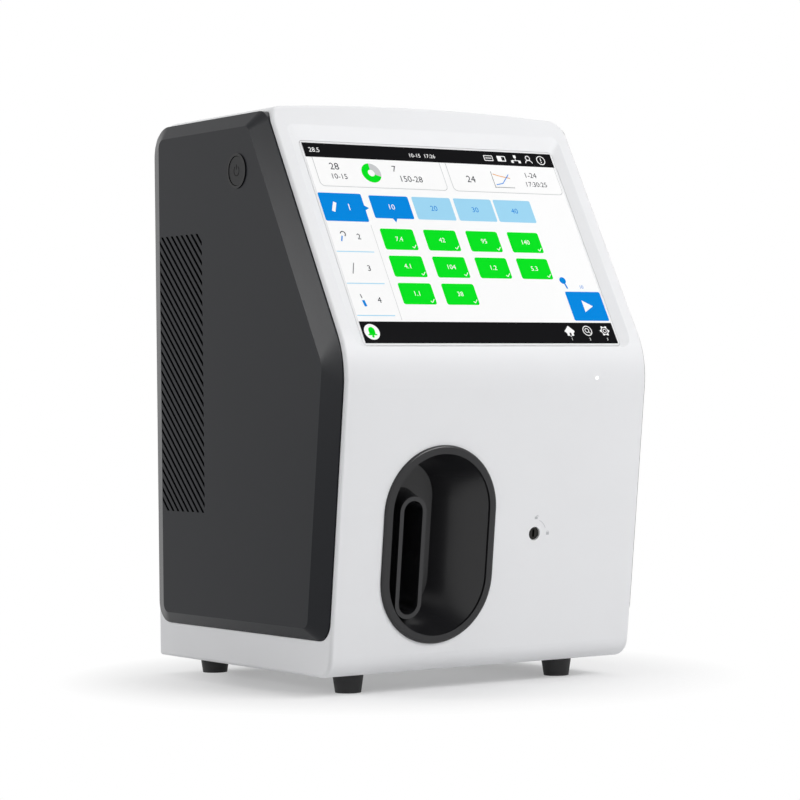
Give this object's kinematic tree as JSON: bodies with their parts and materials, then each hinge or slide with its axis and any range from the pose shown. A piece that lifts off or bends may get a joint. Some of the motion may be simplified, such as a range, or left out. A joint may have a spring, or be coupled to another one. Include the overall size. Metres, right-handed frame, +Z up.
{
  "type": "blood gas analyzer",
  "caption": "Bench blood gas analyzer with a slanted touch screen, a round-ended sampling port, dark side covers with a vent field and a side drawer for the reagent pack.",
  "frame": {"origin": "on the bench under the middle of the analyzer", "axes": "+X to the right seen from the front, +Y to the rear, +Z up"},
  "size_m": [0.2508, 0.238, 0.381],
  "materials": {
    "white_shell": "satin",
    "dark_cover": "fine satin",
    "port_plastic": "satin",
    "lip_plastic": "semi gloss",
    "foot_rubber": "matt",
    "sheet_steel": "zinc plated",
    "rear_paint": "powder coated",
    "screw_steel": "plain",
    "screen_glass": "polished",
    "module_metal": "pressed",
    "board_resin": "solder mask",
    "machined_aluminium": "machined",
    "black_plastic": "satin",
    "grey_plastic": "satin",
    "button_plastic": "satin",
    "motor_metal": "plated",
    "needle_steel": "polished",
    "light_plastic": "clear white",
    "pack_plastic": "satin",
    "lock_metal": "satin",
    "roller_plastic": "smooth",
    "pin_brass": "plain"
  },
  "bodies": {
    "housing": {"main_shell": "white_shell", "left_side_cover": "dark_cover", "right_side_cover": "dark_cover", "rear_panel": "rear_paint", "base_plate": "sheet_steel", "foot_front_left": "foot_rubber", "foot_front_right": "foot_rubber", "foot_rear_left": "foot_rubber", "foot_rear_right": "foot_rubber", "foot_screws": "screw_steel", "bulkhead": "sheet_steel", "socket_plate": "sheet_steel", "display_glass": "screen_glass", "display_module": "module_metal", "display_bracket": "sheet_steel", "display_screws": "screw_steel", "port_surround": "port_plastic", "slot_lip": "lip_plastic", "status_light": "light_plastic", "status_light_board": "board_resin", "lock_barrel": "lock_metal", "power_button_ring": "black_plastic", "power_switch": "black_plastic", "mainboard": "board_resin", "board_standoffs": "pin_brass", "frame_screws": "screw_steel", "heat_sink": "machined_aluminium", "power_supply": "sheet_steel", "fan_frame": "black_plastic", "fan_screws": "screw_steel", "mains_inlet": "black_plastic", "inlet_pins": "pin_brass", "mains_switch_frame": "black_plastic", "usb_sockets": "sheet_steel", "network_socket": "sheet_steel", "socket_board": "board_resin", "measuring_block": "machined_aluminium", "sensor_card": "pack_plastic", "valve_block": "grey_plastic", "pump_housing": "grey_plastic", "pump_motor": "motor_metal", "arm_bracket": "sheet_steel", "arm_motor": "motor_metal", "drawer_bay": "sheet_steel", "drawer_runners": "roller_plastic", "loudspeaker": "black_plastic", "rear_panel_screws": "screw_steel"},
    "power_button": {"power_button": "button_plastic"},
    "sampler_arm": {"sampler_arm": "grey_plastic", "sample_needle": "needle_steel", "arm_shaft": "needle_steel"},
    "lock": {"lock_core": "lock_metal", "lock_cam": "sheet_steel"},
    "drawer": {"drawer_tray": "grey_plastic", "drawer_front": "dark_cover", "reagent_pack": "pack_plastic"},
    "pump_rotor": {"pump_rotor": "grey_plastic", "pump_rollers": "roller_plastic"},
    "fan_rotor": {"fan_rotor": "black_plastic"},
    "mains_rocker": {"mains_rocker": "black_plastic"}
  },
  "joints": [
    {"name": "power_button_press", "type": "slide", "parent": "housing", "child": "power_button", "axis": [1, 0, 0], "range_m": [0, 0.0015], "stiffness_N_per_m": 300},
    {"name": "sampler_arm_swing", "type": "hinge", "parent": "housing", "child": "sampler_arm", "pos_m": [-0.0557, -0.05, 0.056], "axis": [1, 0, 0], "range_deg": [0, 70]},
    {"name": "lock_turn", "type": "hinge", "parent": "housing", "child": "lock", "pos_m": [0.0339, -0.10668, 0.09874], "axis": [0, 0.9923, 0.1236], "range_deg": [0, 90]},
    {"name": "drawer_slide", "type": "slide", "parent": "housing", "child": "drawer", "axis": [1, 0, 0], "range_m": [0, 0.08]},
    {"name": "pump_spin", "type": "hinge", "parent": "housing", "child": "pump_rotor", "pos_m": [-0.078, 0.012, 0.092], "axis": [0, 1, 0], "continuous": true},
    {"name": "fan_spin", "type": "hinge", "parent": "housing", "child": "fan_rotor", "pos_m": [-0.05, 0.104, 0.25], "axis": [0, 1, 0], "continuous": true},
    {"name": "mains_rocker_tilt", "type": "hinge", "parent": "housing", "child": "mains_rocker", "pos_m": [0.07, 0.1143, 0.096], "axis": [1, 0, 0], "range_deg": [0, 18]}
  ]
}
